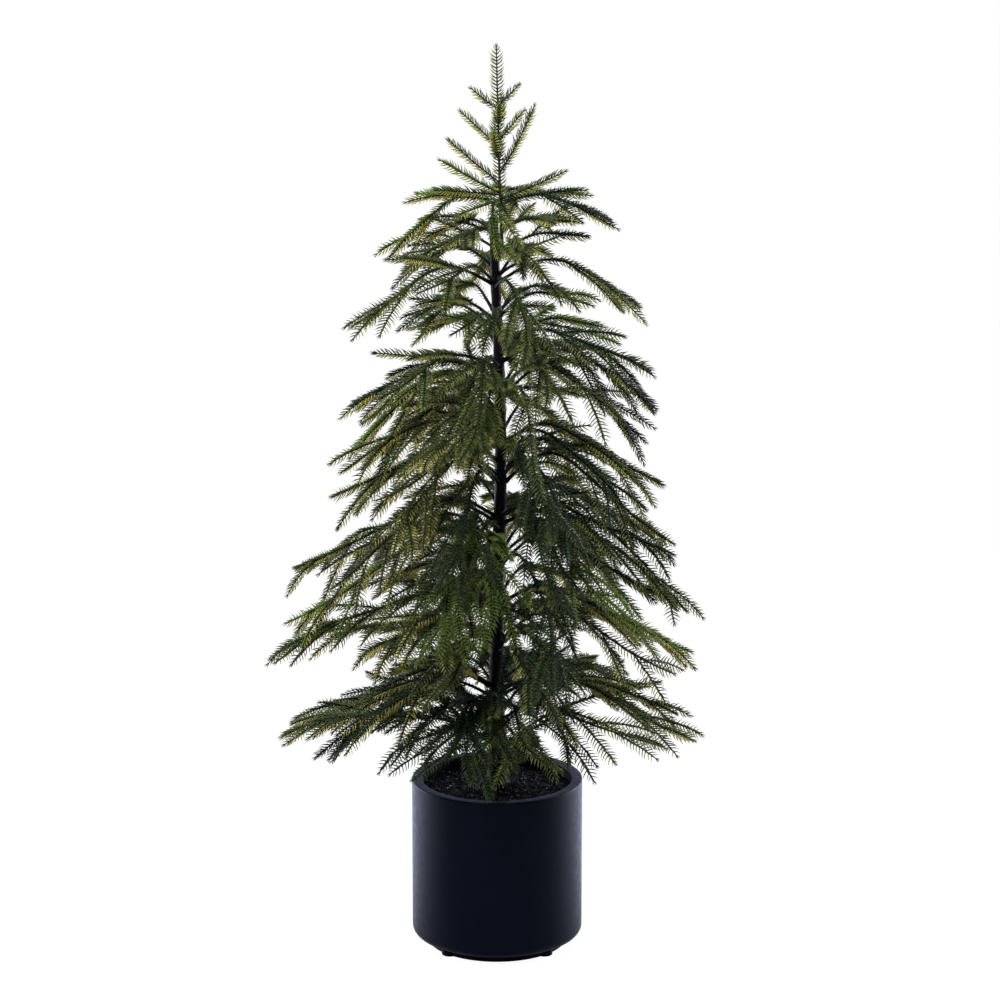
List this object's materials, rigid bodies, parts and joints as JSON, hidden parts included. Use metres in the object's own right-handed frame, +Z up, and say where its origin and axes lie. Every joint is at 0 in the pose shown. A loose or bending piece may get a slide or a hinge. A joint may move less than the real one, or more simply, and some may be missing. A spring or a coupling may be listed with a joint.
{
  "type": "artificial norfolk island pine in a pot",
  "caption": "Artificial conifer with tiers of arching, drooping boughs of feathery needle sprays on a slim upright trunk, standing in a plain round pot.",
  "frame": {"origin": "centre of the pot's flat underside, on the floor", "axes": "+Z up along the trunk; the reference view looks along +Y, with +X to its right"},
  "size_m": [0.5681, 0.5027, 1.22],
  "materials": {
    "pot": "matt moulded plastic, dark navy to black, very fine grain",
    "soil": "black potting grit, dry and rough",
    "bark": "dark brown tape wound round the trunk, dull",
    "stem": "dark green moulded stem, dull",
    "foliage": "soft moulded needles, dull dark green above and olive below"
  },
  "bodies": {
    "root": {"pot": "pot", "soil": "soil", "trunk": "bark", "leader_stem": "stem", "leader_foliage": "foliage", "bough_2_right": "bark", "bough_2_back": "bark", "bough_2_left": "bark", "bough_2_front": "bark", "bough_3_right": "bark", "bough_3_back": "bark", "bough_3_left": "bark", "bough_3_front": "bark", "bough_4_right": "bark", "bough_4_back": "bark", "bough_4_left": "bark", "bough_4_front": "bark", "bough_5_right": "bark", "bough_5_back": "bark", "bough_5_left": "bark", "bough_5_front": "bark", "bough_6_right": "bark", "bough_6_back": "bark", "bough_6_left": "bark", "bough_6_front": "bark", "bough_7_right": "bark", "bough_7_back": "bark", "bough_7_left": "bark", "bough_7_front": "bark", "foliage_1_right": "foliage", "foliage_1_back": "foliage", "foliage_1_left": "foliage", "foliage_1_front": "foliage", "foliage_2_right": "foliage", "foliage_2_back": "foliage", "foliage_2_left": "foliage", "foliage_2_front": "foliage", "foliage_3_right": "foliage", "foliage_3_back": "foliage", "foliage_3_left": "foliage", "foliage_3_front": "foliage", "foliage_4_right": "foliage", "foliage_4_back": "foliage", "foliage_4_left": "foliage", "foliage_4_front": "foliage", "foliage_5_right": "foliage", "foliage_5_back": "foliage", "foliage_5_left": "foliage", "foliage_5_front": "foliage", "foliage_6_right": "foliage", "foliage_6_back": "foliage", "foliage_6_left": "foliage", "foliage_6_front": "foliage", "foliage_7_right": "foliage", "foliage_7_back": "foliage", "foliage_7_left": "foliage", "foliage_7_front": "foliage"}
  },
  "joints": []
}
